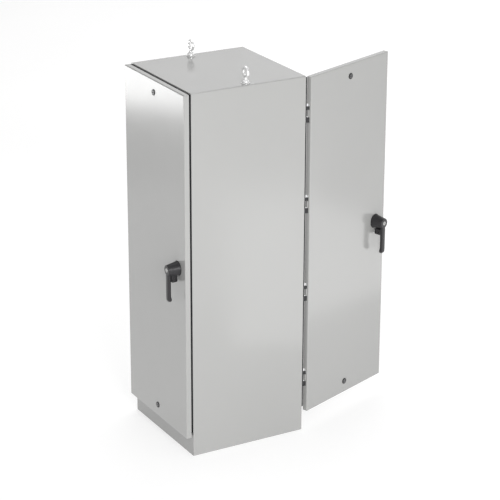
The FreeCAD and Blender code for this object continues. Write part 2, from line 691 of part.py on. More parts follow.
def switch_base():
    """Moulded block behind the contacts, with a trough for each pole between barriers."""
    base = box(-SWITCH_HALF_X, SWITCH_HALF_X, PANEL_Y - SWITCH_DEEP, PANEL_Y,
               SWITCH_Z - SWITCH_HALF_Z, SWITCH_Z + SWITCH_HALF_Z)
    for pole in POLES:
        x = pole_x(pole)
        base = base.cut(box(x - 46, x + 46, PANEL_Y - SWITCH_DEEP - 1, PANEL_Y - 25,
                            SWITCH_Z - SWITCH_HALF_Z + 12, SWITCH_Z + SWITCH_HALF_Z - 12))
        for sz in (-1, 0, 1):
            z = SWITCH_Z + sz * STUD_PITCH
            base = base.cut(box(x - 16, x + 16, PANEL_Y - 30, PANEL_Y + 1, z - 4.2, z + 4.2))
    return base


def arc_chutes():
    """One slotted chute over each fixed contact, seated between the barriers."""
    wide, deep, tall = CHUTE_SIZE
    chutes = []
    for pole in POLES:
        for side in (-1, 1):
            x, z = pole_x(pole), SWITCH_Z + side * CHUTE_Z
            back = PANEL_Y - 25
            chute = box(x - wide / 2, x + wide / 2, back - deep, back, z - tall / 2, z + tall / 2)
            for i in range(7):
                y = back - deep + 10 + i * 9
                chute = chute.cut(box(x - 31, x + 31, y, y + 4, z + side * 18, z + side * 60))
            chutes.append(chute)
    return chutes


def switch_side_frames():
    """Steel plates at both ends of the mechanism that carry the contact shaft."""
    plates = []
    for s in (-1, 1):
        x0, x1 = s * FRAME_PLATE_X, s * (FRAME_PLATE_X + FRAME_PLATE)
        plate = box(x0, x1, SHAFT_Y - 32, PANEL_Y, SWITCH_Z - 90, SWITCH_Z + 90)
        plate = plate.cut(cylinder(SHAFT_BORE_R, (s * 100, SHAFT_Y, SWITCH_Z), (s * 220, SHAFT_Y, SWITCH_Z)))
        foot = box(x1, x1 + s * 26, PANEL_Y - 5, PANEL_Y, SWITCH_Z - 90, SWITCH_Z + 90)
        plates.append(fuse(plate, foot))
    return plates


def contact_shaft():
    """Cross shaft with a moving contact arm for each pole and a drive crank at its left end."""
    end_x = FRAME_PLATE_X + FRAME_PLATE
    shaft = cylinder(SHAFT_R, (-end_x - 34, SHAFT_Y, SWITCH_Z), (end_x + 40, SHAFT_Y, SWITCH_Z))
    for pole in POLES:
        x = pole_x(pole)
        hub = cylinder(19, (x - 26, SHAFT_Y, SWITCH_Z), (x + 26, SHAFT_Y, SWITCH_Z))
        blade = box(x - 12, x + 12, SHAFT_Y, SHAFT_Y + 46, SWITCH_Z - 7, SWITCH_Z + 7)
        blade.rotate(vec(x, SHAFT_Y, SWITCH_Z), vec(1, 0, 0), SHAFT_SWING / 2)
        shaft = fuse(shaft, hub, blade)
    crank_x = -end_x - 22
    pin_y = SHAFT_Y - CRANK_R
    crank = fuse(cylinder(17, (crank_x - 5, SHAFT_Y, SWITCH_Z), (crank_x + 5, SHAFT_Y, SWITCH_Z)),
                 box(crank_x - 5, crank_x + 5, pin_y - 9, SHAFT_Y, SWITCH_Z - 9, SWITCH_Z + 9),
                 cylinder(4, (crank_x - 14, pin_y, SWITCH_Z), (crank_x, pin_y, SWITCH_Z)))
    crank.rotate(vec(crank_x, SHAFT_Y, SWITCH_Z), vec(1, 0, 0), SHAFT_SWING / 2)
    return fuse(shaft, crank)


GRIP_R = 11.0
GRIP_LONG = 46.0
MANUAL_LONG = 96.0


def manual_handle():
    """The hand lever on the shaft's right end, with a rounded grip."""
    x = FRAME_PLATE_X + FRAME_PLATE + 27
    grip_y = SHAFT_Y - MANUAL_LONG + GRIP_LONG
    hub = cylinder(20, (x - 11, SHAFT_Y, SWITCH_Z), (x + 11, SHAFT_Y, SWITCH_Z))
    stem = cylinder(7, (x, SHAFT_Y, SWITCH_Z), (x, grip_y - 6, SWITCH_Z))
    grip = cylinder(GRIP_R, (x, grip_y, SWITCH_Z), (x, grip_y - GRIP_LONG, SWITCH_Z))
    grip = grip.makeFillet(4, edges_where(grip, lambda e: e.Closed))
    handle = fuse(hub, stem, grip)
    handle = handle.cut(cylinder(SHAFT_R, (x - 20, SHAFT_Y, SWITCH_Z), (x + 20, SHAFT_Y, SWITCH_Z)))
    handle.rotate(vec(x, SHAFT_Y, SWITCH_Z), vec(1, 0, 0), SHAFT_SWING / 2)
    return handle


def crank_pin_z():
    """Height of the crank pin's centre at rest, the bottom of its swing."""
    return SWITCH_Z - CRANK_R * math.sin(math.radians(SHAFT_SWING / 2))


COIL_HALF = 30.0
PLUNGER_R = 7.0
PLUNGER_BORE_R = 7.05
COIL_X = -(FRAME_PLATE_X + FRAME_PLATE + 32)
COIL_Y = SHAFT_Y - CRANK_R + 1
COIL_Z0 = SWITCH_Z - 230
COIL_Z1 = SWITCH_Z - 112


def operator_plunger():
    """The solenoid's plunger, with a slotted head that lifts the crank pin."""
    z = crank_pin_z()
    y_near = SHAFT_Y - CRANK_R * math.cos(math.radians(SHAFT_SWING / 2))
    head = box(COIL_X - 4, COIL_X + 3, COIL_Y - 16, COIL_Y + 16, z - 15, z + 12)
    slot = box(COIL_X - 5, COIL_X + 4, SHAFT_Y - CRANK_R - 5, y_near + 5, z - 4.4, z + 4.4)
    rod = cylinder(PLUNGER_R, (COIL_X, COIL_Y, COIL_Z0 + 40), (COIL_X, COIL_Y, z - 12))
    return fuse(head.cut(slot), rod)


def operator_coil():
    """The solenoid: end plates, a wound coil between them and two brackets to the panel."""
    plate = 6.0
    winding = cylinder(COIL_HALF - 3, (COIL_X, COIL_Y, COIL_Z0 + plate), (COIL_X, COIL_Y, COIL_Z1 - plate))
    bore = cylinder(PLUNGER_BORE_R, (COIL_X, COIL_Y, COIL_Z0 + 30), (COIL_X, COIL_Y, COIL_Z1 + 1))
    body = winding
    x0, x1 = COIL_X - COIL_HALF, COIL_X + COIL_HALF
    for z0 in (COIL_Z0, COIL_Z1 - plate):
        body = fuse(body, box(x0, x1, COIL_Y - COIL_HALF, PANEL_Y, z0, z0 + plate))
    return body.cut(bore)


# ---------------------------------------------------------------- power bus, behind the panel
SOURCE_1_Z = (SWITCH_Z + STUD_PITCH - 22, 1650.0)
SOURCE_2_Z = (280.0, SWITCH_Z - STUD_PITCH + 22)
LOAD_Z = (430.0, SWITCH_Z + 22)
LOAD_SHIFT = POLE_PITCH / 2
INSULATOR_ZS = {"source_1": (1340.0, 1560.0), "source_2": (380.0, 800.0), "load": (530.0, 930.0)}
NEUTRAL_Z = 215.0
NEUTRAL_X = (-150.0, 190.0)
GROUND_Z = (200.0, 470.0)
CT_Z = 640.0


def stud(x, z, end_y):
    """A flat terminal from inside the moulded base, back through the panel's window."""
    return box(x - 15, x + 15, PANEL_Y - 20, end_y, z - 4, z + 4)


def line_bars(z_span, stud_z):
    z0, z1 = z_span
    bars = []
    for pole in POLES:
        x = pole_x(pole)
        bar = box(x - BAR_WIDE / 2, x + BAR_WIDE / 2, LINE_BAR_Y, LINE_BAR_Y + BAR_THICK, z0, z1)
        bars.append(fuse(bar, stud(x, stud_z, LINE_BAR_Y + 1)))
    return bars


def load_bars():
    """Each load bar starts at its pole's middle stud and steps sideways before it runs down."""
    z0, z1 = LOAD_Z
    bars = []
    for pole in POLES:
        x = pole_x(pole)
        centre = x + LOAD_SHIFT
        run = box(centre - BAR_WIDE / 2, centre + BAR_WIDE / 2, LOAD_BAR_Y, LOAD_BAR_Y + BAR_THICK, z0, z1)
        step = box(x - 22, centre, LOAD_BAR_Y, LOAD_BAR_Y + BAR_THICK, SWITCH_Z - 22, z1)
        bars.append(fuse(run, step, stud(x, SWITCH_Z, LOAD_BAR_Y + 1)))
    return bars


def ribbed_insulator(x, z, length):
    """A standoff that starts on the back of the panel."""
    post = cylinder(14, (x, PANEL_BACK, z), (x, PANEL_BACK + length, z))
    ribs = [cylinder(19, (x, PANEL_BACK + y, z), (x, PANEL_BACK + y + 8, z))
            for y in [6 + 16 * i for i in range(int((length - 12) // 16) + 1)] if y + 8 < length]
    return fuse(post, *ribs)


def insulator_places():
    """(x, z, bar front y, bar kind) for every standoff."""
    places = []
    for kind, zs in INSULATOR_ZS.items():
        shift = LOAD_SHIFT if kind == "load" else 0
        bar_y = LOAD_BAR_Y if kind == "load" else LINE_BAR_Y
        places += [(pole_x(pole) + shift, z, bar_y) for pole in POLES for z in zs]
    places += [(x, NEUTRAL_Z, LINE_BAR_Y) for x in (NEUTRAL_X[0] + 40, NEUTRAL_X[1] - 40)]
    return places


def bus_insulators():
    return [ribbed_insulator(x, z, bar_y - PANEL_BACK) for x, z, bar_y in insulator_places()]


def bus_bolts():
    return [hexagon(16, (x, bar_y + BAR_THICK, z), "y", 7) for x, z, bar_y in insulator_places()]


def lug(x, bar_y, z0, z1):
    """A mechanical cable lug with two cable bores and their clamp screws."""
    y0, y1 = bar_y + BAR_THICK, bar_y + BAR_THICK + 30
    block = box(x - 24, x + 24, y0, y1, z0, z1)
    for dx in (-12, 12):
        block = block.cut(cylinder(9, (x + dx, y0 + 13, z0 - 1), (x + dx, y0 + 13, z1 + 1)))
    screws = [cylinder(6, (x + dx, y1, (z0 + z1) / 2), (x + dx, y1 + 5, (z0 + z1) / 2)) for dx in (-12, 12)]
    sockets = [hexagon(6, (x + dx, y1 + 1.5, (z0 + z1) / 2), "y", 5) for dx in (-12, 12)]
    return cut(fuse(block, *screws), *sockets)


def cable_lugs():
    tall = 46.0
    lugs = []
    for pole in POLES:
        x = pole_x(pole)
        lugs.append(lug(x, LINE_BAR_Y, SOURCE_1_Z[1] - tall, SOURCE_1_Z[1]))
        lugs.append(lug(x, LINE_BAR_Y, SOURCE_2_Z[0], SOURCE_2_Z[0] + tall))
        lugs.append(lug(x + LOAD_SHIFT, LOAD_BAR_Y, LOAD_Z[0], LOAD_Z[0] + tall))
    return lugs


def neutral_bar():
    """A flat bar across the bottom with a row of clamp screws."""
    x0, x1 = NEUTRAL_X
    bar = box(x0, x1, LINE_BAR_Y, LINE_BAR_Y + BAR_THICK, NEUTRAL_Z - 20, NEUTRAL_Z + 20)
    face = LINE_BAR_Y + BAR_THICK
    screws = [cylinder(7, (x, face, NEUTRAL_Z), (x, face + 6, NEUTRAL_Z))
              for x in [x0 + 80 + 30 * i for i in range(7)]]
    return fuse(bar, *screws)


def ground_bar():
    """A flat bar on two spacers on the left side wall, with clamp screws."""
    wall = -HALF_X + SHEET
    z0, z1 = GROUND_Z
    bar = box(wall + 14, wall + 20, 150, 190, z0, z1)
    spacers = [cylinder(9, (wall, 170, z), (wall + 15, 170, z)) for z in (z0 + 20, z1 - 20)]
    screw_zs = [z0 + 45 + 30 * i for i in range(7)]
    screws = [cylinder(6, (wall + 20, 170, z), (wall + 26, 170, z)) for z in screw_zs]
    return fuse(bar, *spacers, *screws)


def current_transformers():
    """A moulded ring round each load bar."""
    rings = []
    for pole in POLES:
        x, y = pole_x(pole) + LOAD_SHIFT, LOAD_BAR_Y + BAR_THICK / 2
        ring = box(x - 40, x + 40, y - 27, y + 27, CT_Z - 20, CT_Z + 20)
        ring = ring.makeFillet(8, edges_where(ring, lambda e: runs_along(e, Z_AXIS)))
        rings.append(ring.cut(box(x - BAR_WIDE / 2, x + BAR_WIDE / 2, y - BAR_THICK / 2, y + BAR_THICK / 2,
                                  CT_Z - 21, CT_Z + 21)))
    return rings


# ---------------------------------------------------------------- controls, in front of the panel
CONTROLLER = {"x": (-190.0, 50.0), "z": (1440.0, 1640.0), "front": PANEL_Y - 80.0}
WINDOW = {"x": (-165.0, -35.0), "z": (1525.0, 1610.0)}
BUTTON_XS = {"test": -140.0, "reset": -60.0}
BUTTON_Z = 1480.0
BUTTON_R = 9.0
BUTTON_BORE_R = 9.05
BUTTON_PROUD = 5.0


def controller_housing():
    """A moulded case with a recess for its window and a guide for each push button."""
    (x0, x1), (z0, z1), front = CONTROLLER["x"], CONTROLLER["z"], CONTROLLER["front"]
    case = box(x0, x1, front, PANEL_Y, z0, z1)
    case = case.makeFillet(5, edges_where(case, lambda e: runs_along(e, vec(0, 1, 0))))
    case = case.cut(box(x0 + 3, x1 - 3, front + 14, PANEL_Y - 3, z0 + 3, z1 - 3))
    (wx0, wx1), (wz0, wz1) = WINDOW["x"], WINDOW["z"]
    case = case.cut(box(wx0, wx1, front - 1, front + 5, wz0, wz1))
    for x in BUTTON_XS.values():
        case = case.cut(cylinder(BUTTON_BORE_R, (x, front - 1, BUTTON_Z), (x, front + 15, BUTTON_Z)))
    for x in (x0 + 200, x0 + 220):
        case = case.cut(cylinder(3, (x, front - 1, 1600), (x, front + 2, 1600)))
    return case


def controller_window():
    (x0, x1), (z0, z1), front = WINDOW["x"], WINDOW["z"], CONTROLLER["front"]
    return box(x0, x1, front + 1, front + 4, z0, z1)


def push_button(which):
    x, front = BUTTON_XS[which], CONTROLLER["front"]
    button = cylinder(BUTTON_R, (x, front + 12, BUTTON_Z), (x, front - BUTTON_PROUD, BUTTON_Z))
    rim = edges_where(button, lambda e: abs(e.CenterOfMass.y - front + BUTTON_PROUD) < 0.01)
    return button.makeFillet(1.2, rim)


def control_transformer():
    """Laminated core with a winding on its middle limb, on two feet."""
    x0, x1, z0, z1 = -215.0, -85.0, 560.0, 670.0
    core = box(x0, x1, PANEL_Y - 70, PANEL_Y - 10, z0, z1)
    windows = [box(x, x + 26, PANEL_Y - 71, PANEL_Y - 9, z0 + 20, z1 - 20) for x in (x0 + 20, x1 - 46)]
    coil = box(x0 + 22, x1 - 22, PANEL_Y - 92, PANEL_Y - 3, z0 + 22, z1 - 22)
    feet = [box(x0 - 6, x1 + 6, PANEL_Y - 12, PANEL_Y, z, z + 14) for z in (z0 + 2, z1 - 16)]
    return fuse(cut(core, *windows), coil, *feet)


def fuse_blocks():
    """Six fuse carriers on one base, over a row of terminal blocks."""
    pieces = []
    base = box(-40, 180, PANEL_Y - 22, PANEL_Y, 560, 680)
    for i in range(6):
        x = -34 + 36 * i
        holder = box(x, x + 28, PANEL_Y - 62, PANEL_Y - 21, 570, 670)
        holder = holder.makeFillet(4, edges_where(holder, lambda e: runs_along(e, Z_AXIS)))
        base = fuse(base, holder)
    pieces.append(base)
    for i in range(24):
        x = -180 + 14.5 * i
        block = box(x, x + 13.5, PANEL_Y - 45, PANEL_Y, 330, 390)
        block = block.cut(box(x + 2.5, x + 11, PANEL_Y - 46, PANEL_Y - 30, 336, 348))
        pieces.append(block.cut(box(x + 2.5, x + 11, PANEL_Y - 46, PANEL_Y - 30, 372, 384)))
    return pieces


def control_relays():
    """Plug-in relays, each in its socket."""
    pieces = []
    for row in range(2):
        for column in range(2):
            x, z = 84 + 46 * column, 1450 + 98 * row
            pieces.append(box(x, x + 38, PANEL_Y - 26, PANEL_Y, z, z + 84))
            case = box(x + 4, x + 34, PANEL_Y - 78, PANEL_Y - 26, z + 18, z + 66)
            pieces.append(case.makeFillet(2.5, case.Edges))
    return pieces


def duct(x0, x1, z0, z1):
    """A slotted wiring duct with its lid; the slots run in from both long sides."""
    deep, wall, pitch = 55.0, 2.0, 14.0
    back, front = PANEL_Y, PANEL_Y - deep
    body = box(x0, x1, front, back, z0, z1)
    along_x = (x1 - x0) > (z1 - z0)
    span = (x1 - x0) if along_x else (z1 - z0)
    if along_x:
        body = body.cut(box(x0 - 1, x1 + 1, front + wall, back - wall, z0 + wall, z1 - wall))
    else:
        body = body.cut(box(x0 + wall, x1 - wall, front + wall, back - wall, z0 - 1, z1 + 1))
    slots = []
    for i in range(int(span // pitch) - 1):
        start = 10 + pitch * i
        if along_x:
            slots.append(box(x0 + start, x0 + start + 5, front + 8, back - 14, z0 - 1, z1 + 1))
        else:
            slots.append(box(x0 - 1, x1 + 1, front + 8, back - 14, z0 + start, z0 + start + 5))
    return body.cut(Part.makeCompound(slots))


def wiring_ducts():
    return [duct(-236, 236, 1340, 1385), duct(-236, 236, 765, 810), duct(-236, 236, 440, 485),
            duct(191, 231, 1390, 1690), duct(196, 236, 490, 760)]


# ---------------------------------------------------------------- export
def cabinet_nodes():
    frame = opening_frame()
    leaves = [body_leaf(z) for z in HINGE_ZS]
    pins = [hinge_pin(z) for z in HINGE_ZS]
    seal = frame_seal()
    return {
        "body_wrap": [body_wrap()],
        "front_opening_frame": [frame],
        "rear_opening_frame": [turned_to_rear(frame)],
        "floor_pan": floor_pan(),
        "plinth_panels": plinth_panels(),
        "lifting_eyes": lifting_eyes(),
        "frame_seals": seal.Solids + turned_to_rear(seal).Solids,
        "hinge_body_leaves": leaves + [turned_to_rear(leaf) for leaf in leaves],
        "hinge_pins": pins + [turned_to_rear(pin) for pin in pins],
        "panel_rails": panel_rails(),
        "mounting_panel": [mounting_panel()],
        "panel_screws": panel_screws(),
    }


def door_nodes():
    return {
        "door_panel": [door_panel()],
        "door_gasket": [door_gasket()],
        "door_brackets": door_brackets(),
        "door_hinge_leaves": [door_leaf(z) for z in HINGE_ZS],
        "handle_base": handle_base(),
        "handle_lever": [handle_lever()],
        "key_lock": [key_lock()],
        "latch_cam": [latch_cam()],
        "upper_rod": [latch_rod("upper")],
        "lower_rod": [latch_rod("lower")],
        "bottom_latch": [quarter_turn(LATCH_ZS[0])],
        "top_latch": [quarter_turn(LATCH_ZS[1])],
    }


def equipment_nodes():
    return {
        "switch_base": [switch_base()],
        "arc_chutes": arc_chutes(),
        "switch_side_frames": switch_side_frames(),
        "contact_shaft": [contact_shaft()],
        "manual_handle": [manual_handle()],
        "operator_coil": [operator_coil()],
        "operator_plunger": [operator_plunger()],
        "bus_sources": line_bars(SOURCE_1_Z, SWITCH_Z + STUD_PITCH)
        + line_bars(SOURCE_2_Z, SWITCH_Z - STUD_PITCH),
        "bus_load": load_bars(),
        "bus_insulators": bus_insulators(),
        "bus_bolts": bus_bolts(),
        "cable_lugs": cable_lugs(),
        "neutral_bar": [neutral_bar()],
        "ground_bar": [ground_bar()],
        "current_transformers": current_transformers(),
        "controller_housing": [controller_housing()],
        "controller_window": [controller_window()],
        "test_button": [push_button("test")],
        "reset_button": [push_button("reset")],
        "control_transformer": [control_transformer()],
        "fuse_blocks": fuse_blocks(),
        "control_relays": control_relays(),
        "wiring_ducts": wiring_ducts(),
    }


def main():
    os.makedirs("parts", exist_ok=True)
    for node, shapes in {**cabinet_nodes(), **equipment_nodes()}.items():
        export(node, *shapes)
    for node, shapes in door_nodes().items():
        export(f"front_{node}", *shapes)
        export(f"rear_{node}", *[on_rear_door(shape) for shape in shapes])
    export("front_document_pocket", document_pocket())


main()
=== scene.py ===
"""Looks of the dual-access transfer switch cabinet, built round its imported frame, in metres."""
import json
import math

import bmesh
import bpy
from mathutils import Matrix, Vector


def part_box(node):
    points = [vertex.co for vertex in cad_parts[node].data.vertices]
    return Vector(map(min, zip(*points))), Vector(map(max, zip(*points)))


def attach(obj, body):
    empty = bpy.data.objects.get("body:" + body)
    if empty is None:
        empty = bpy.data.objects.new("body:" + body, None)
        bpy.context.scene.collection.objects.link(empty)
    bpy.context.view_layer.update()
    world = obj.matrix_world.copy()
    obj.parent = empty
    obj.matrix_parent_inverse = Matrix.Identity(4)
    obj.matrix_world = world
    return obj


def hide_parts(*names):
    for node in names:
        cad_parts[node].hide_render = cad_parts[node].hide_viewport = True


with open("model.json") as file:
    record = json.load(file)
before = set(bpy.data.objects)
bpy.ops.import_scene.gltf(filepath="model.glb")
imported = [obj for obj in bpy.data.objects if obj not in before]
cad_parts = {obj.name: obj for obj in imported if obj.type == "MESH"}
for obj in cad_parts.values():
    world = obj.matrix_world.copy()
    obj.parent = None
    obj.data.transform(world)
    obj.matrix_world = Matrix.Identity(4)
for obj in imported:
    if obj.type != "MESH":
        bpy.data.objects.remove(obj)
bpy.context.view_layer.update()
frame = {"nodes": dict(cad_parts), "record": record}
MM = 0.001

RECORD = frame["record"]
JOINT = {joint["name"]: joint for joint in RECORD["behaviour"]["joints"]}
MOUNT = {mount["name"]: mount for mount in RECORD["mounts"]}
BODY_OF = {node: body for body, nodes in RECORD["behaviour"]["bodies"].items() for node in nodes}
SLOT_OF = {part["node"]: part["material_slot"] for part in RECORD["subparts"]}
SIDES = ("front", "rear")


# ---------------------------------------------------------------- materials
class Nodes:
    """A new node material with a Principled shader and short ways to add nodes."""

    def __init__(self, name):
        self.material = bpy.data.materials.new(name)
        self.material.use_nodes = True
        self.tree = self.material.node_tree
        self.shader = self.tree.nodes["Principled BSDF"]
        self.place = self.tree.nodes.new("ShaderNodeTexCoord").outputs["Object"]

    def set(self, **values):
        for name, value in values.items():
            self.shader.inputs[name.replace("_", " ")].default_value = value

    def link(self, output, target):
        self.tree.links.new(output, self.shader.inputs[target] if isinstance(target, str) else target)

    def noise(self, scale, detail=3.0, stretch=None):
        place = self.place
        if stretch:
            mapping = self.tree.nodes.new("ShaderNodeMapping")
            mapping.inputs["Scale"].default_value = stretch
            self.tree.links.new(place, mapping.inputs["Vector"])
            place = mapping.outputs["Vector"]
        node = self.tree.nodes.new("ShaderNodeTexNoise")
        node.inputs["Scale"].default_value = scale
        node.inputs["Detail"].default_value = detail
        self.tree.links.new(place, node.inputs["Vector"])
        return node.outputs["Fac"]

    def voronoi(self, scale):
        node = self.tree.nodes.new("ShaderNodeTexVoronoi")
        node.inputs["Scale"].default_value = scale
        self.tree.links.new(self.place, node.inputs["Vector"])
        return node.outputs["Color"]

    def wave(self, axis, scale, distortion):
        node = self.tree.nodes.new("ShaderNodeTexWave")
        node.bands_direction = axis
        node.inputs["Scale"].default_value = scale
        node.inputs["Distortion"].default_value = distortion
        self.tree.links.new(self.place, node.inputs["Vector"])
        return node.outputs["Fac"]

    def ramp(self, source, low, high, low_at=0.3, high_at=0.7):
        node = self.tree.nodes.new("ShaderNodeValToRGB")
        first, last = node.color_ramp.elements
        first.position, last.position = low_at, high_at
        first.color, last.color = low, high
        self.tree.links.new(source, node.inputs["Fac"])
        return node.outputs["Color"]

    def span(self, source, low, high):
        node = self.tree.nodes.new("ShaderNodeMapRange")
        node.inputs["To Min"].default_value = low
        node.inputs["To Max"].default_value = high
        self.tree.links.new(source, node.inputs["Value"])
        return node.outputs["Result"]

    def bump(self, *layers):
        """Each layer is (height, strength, distance in metres)."""
        normal = None
        for height, strength, distance in layers:
            node = self.tree.nodes.new("ShaderNodeBump")
            node.inputs["Strength"].default_value = strength
            node.inputs["Distance"].default_value = distance
            self.tree.links.new(height, node.inputs["Height"])
            if normal:
                self.tree.links.new(normal, node.inputs["Normal"])
            normal = node.outputs["Normal"]
        self.link(normal, "Normal")


def shade(colour, factor):
    return tuple(min(1.0, c * factor) for c in colour) + (1.0,)


def paint(name, colour, roughness=0.16, ior=1.85):
    """Gloss powder coat: fine orange peel, a faint sheet waviness and slightly uneven gloss."""
    m = Nodes(name)
    m.set(Roughness=roughness, IOR=ior)
    m.link(m.ramp(m.noise(2.2, 4), shade(colour, 0.985), shade(colour, 1.012)), "Base Color")
    m.link(m.span(m.noise(9.0, 5), roughness - 0.03, roughness + 0.04), "Roughness")
    m.bump((m.noise(1.6, 1), 0.25, 0.0012), (m.noise(420.0, 2), 0.06, 0.0002))
    return m.material


def plastic(name, colour, roughness=0.45, grain=900.0):
    """Moulded plastic: spark-eroded grain and faint flow marks."""
    m = Nodes(name)
    m.set(Specular_IOR_Level=0.5)
    m.link(m.ramp(m.noise(14.0, 4), shade(colour, 0.92), shade(colour, 1.08)), "Base Color")
    m.link(m.span(m.noise(60.0, 4), roughness - 0.06, roughness + 0.08), "Roughness")
    m.bump((m.noise(grain, 3), 0.18, 0.0002))
    return m.material


def metal(name, colour, roughness=0.28, brush=(1, 1, 1), spread=0.06, metallic=1.0):
    """Bare or plated metal: drawn or rolled streaks along one direction, with light staining."""
    m = Nodes(name)
    m.set(Metallic=metallic)
    streaks = m.noise(260.0, 4, brush)
    m.link(m.ramp(m.noise(18.0, 5), shade(colour, 0.86), shade(colour, 1.05)), "Base Color")
    m.link(m.span(streaks, roughness - spread, roughness + spread), "Roughness")
    m.bump((streaks, 0.12, 0.0001))
    return m.material


def zinc(name):
    """Galvanised sheet with its spangle."""
    m = Nodes(name)
    m.set(Metallic=1.0)
    m.link(m.ramp(m.voronoi(170.0), (0.46, 0.48, 0.50, 1), (0.68, 0.70, 0.72, 1), 0.1, 0.9), "Base Color")
    m.link(m.span(m.noise(120.0, 3), 0.30, 0.46), "Roughness")
    m.bump((m.noise(240.0, 3), 0.10, 0.0001))
    return m.material


def foam(name):
    """Closed-cell gasket foam: fine pores in a dull skin."""
    m = Nodes(name)
    m.set(Specular_IOR_Level=0.06)
    pores = m.noise(1100.0, 2)
    m.link(m.ramp(pores, (0.006, 0.006, 0.007, 1), (0.022, 0.022, 0.024, 1)), "Base Color")
    m.link(m.span(m.noise(300.0, 2), 0.75, 0.92), "Roughness")
    m.bump((pores, 0.4, 0.0004))
    return m.material


def clear(name):
    """See-through moulding, faintly tinted."""
    m = Nodes(name)
    m.set(Alpha=0.35, IOR=1.49)
    m.link(m.ramp(m.noise(8.0, 2), (0.42, 0.52, 0.54, 1), (0.50, 0.60, 0.62, 1)), "Base Color")
    m.link(m.span(m.noise(40.0, 3), 0.04, 0.09), "Roughness")
    return m.material


def winding(name):
    """Varnished wire: close turns round an upright axis."""
    m = Nodes(name)
    wires = m.wave("Z", 160.0, 0.4)
    m.link(m.ramp(wires, (0.10, 0.028, 0.010, 1), (0.36, 0.13, 0.045, 1)), "Base Color")
    m.link(m.span(m.noise(80.0, 3), 0.22, 0.38), "Roughness")
    m.bump((wires, 0.5, 0.0005))
    return m.material


def laminated(name):
    """Stacked transformer sheets, seen edge on along Y."""
    m = Nodes(name)
    m.set(Metallic=0.8)
    sheets = m.wave("Y", 210.0, 0.3)
    m.link(m.ramp(sheets, (0.10, 0.10, 0.11, 1), (0.30, 0.30, 0.31, 1)), "Base Color")
    m.link(m.span(m.noise(70.0, 3), 0.34, 0.52), "Roughness")
    m.bump((sheets, 0.4, 0.0003))
    return m.material


LIGHT_GREY = (0.36, 0.36, 0.353)
# Darker grey for the plinth front: painted shade for the shadow under the overhanging doors, not a different
# paint.
PLINTH_SHADE_GREY = (0.29, 0.29, 0.284)
LOOKS = {
    "painted_steel": paint("light_grey_paint", LIGHT_GREY),
    "panel_white": paint("white_panel_paint", (0.66, 0.66, 0.63), 0.30, 1.5),
    "galvanised_steel": zinc("galvanised_sheet"),
    "plated_eye_steel": metal("bright_plated_forging", (0.94, 0.94, 0.94), 0.24, spread=0.05, metallic=0.65),
    "fastener_steel": metal("zinc_plated_steel", (0.62, 0.63, 0.64), 0.30, (1, 1, 0.1)),
    "gasket_foam": foam("gasket_foam"),
    # Black coat on the body hinge leaves. Its darkness is partly a real black finish and partly painted shade
    # for the shadowed hinge notches in the door edge.
    "hinge_black": plastic("hinge_black_coat_notch_shade", (0.020, 0.020, 0.022), 0.40, 1400.0),
    "handle_black": plastic("charcoal_powder_coat", (0.017, 0.016, 0.018), 0.34, 1400.0),
    "lock_steel": metal("satin_nickel", (0.50, 0.50, 0.49), 0.30),
    "latch_head": plastic("dark_latch", (0.012, 0.012, 0.013), 0.36, 1600.0),
    "copper": metal("bare_copper", (0.84, 0.42, 0.26), 0.30, (1, 1, 0.06), 0.08),
    "lug_aluminium": metal("tinned_aluminium", (0.78, 0.79, 0.80), 0.30),
    "insulator_red": plastic("red_polyester", (0.34, 0.035, 0.022), 0.26, 500.0),
    "switch_plastic": plastic("black_moulding", (0.030, 0.030, 0.033), 0.48),
    "chute_plastic": plastic("grey_moulding", (0.10, 0.10, 0.105), 0.55),
    "control_plastic": plastic("slate_moulding", (0.045, 0.052, 0.062), 0.45),
    "window_clear": clear("clear_window"),
    "button_green": plastic("green_button", (0.02, 0.26, 0.06), 0.28),
    "button_red": plastic("red_button", (0.42, 0.02, 0.015), 0.28),
    "duct_grey": plastic("grey_duct", (0.30, 0.31, 0.32), 0.5),
    "coil_enamel": winding("varnished_winding"),
    "relay_clear": plastic("relay_cover", (0.42, 0.39, 0.32), 0.22),
    "grip_red": plastic("red_grip", (0.42, 0.025, 0.02), 0.32),
    "pocket_grey": plastic("grey_pocket", (0.36, 0.36, 0.37), 0.5),
}


# ---------------------------------------------------------------- pieces
def new_piece(name, mesh, node, replaces=True, look=None, slot=None):
    """A piece that rides on a CAD node's body, takes its slot's finish and may stand for it."""
    slot = slot or SLOT_OF[node]
    piece = bpy.data.objects.new(name, mesh)
    bpy.context.scene.collection.objects.link(piece)
    mesh.materials.clear()
    mesh.materials.append(look or LOOKS[slot])
    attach(piece, BODY_OF[node])
    if replaces:
        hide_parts(node)
    return piece


def broken_edges(piece, width, segments=2, angle=40):
    """A small bevel on every sharp edge, with the flat faces kept flat."""
    bevel = piece.modifiers.new("broken_edges", "BEVEL")
    bevel.width = width
    bevel.segments = segments
    bevel.limit_method = "ANGLE"
    bevel.angle_limit = math.radians(angle)
    bevel.miter_outer = "MITER_ARC"
    normals = piece.modifiers.new("flat_faces", "WEIGHTED_NORMAL")
    normals.mode = "FACE_AREA"
    normals.weight = 100
    return piece


def softened(node, edge, segments=2, merge=True):
    """The CAD node's own shape with its sheet, moulding or casting edges broken."""
    mesh = frame["nodes"][node].data.copy()
    bm = bmesh.new()
    bm.from_mesh(mesh)
    bmesh.ops.remove_doubles(bm, verts=bm.verts, dist=1e-6)
    if merge:
        bmesh.ops.dissolve_limit(bm, angle_limit=math.radians(0.4), verts=bm.verts, edges=bm.edges)
    for face in bm.faces:
        face.smooth = True
    bm.to_mesh(mesh)
    bm.free()
    return broken_edges(new_piece(f"{node}_finished", mesh, node), edge * MM, segments)


def second_look(piece, look, test):
    """Give another finish to the faces whose centre passes the test, in millimetres."""
    piece.data.materials.append(look)
    index = len(piece.data.materials) - 1
    for face in piece.data.polygons:
        if test(*(face.center / MM)):
            face.material_index = index


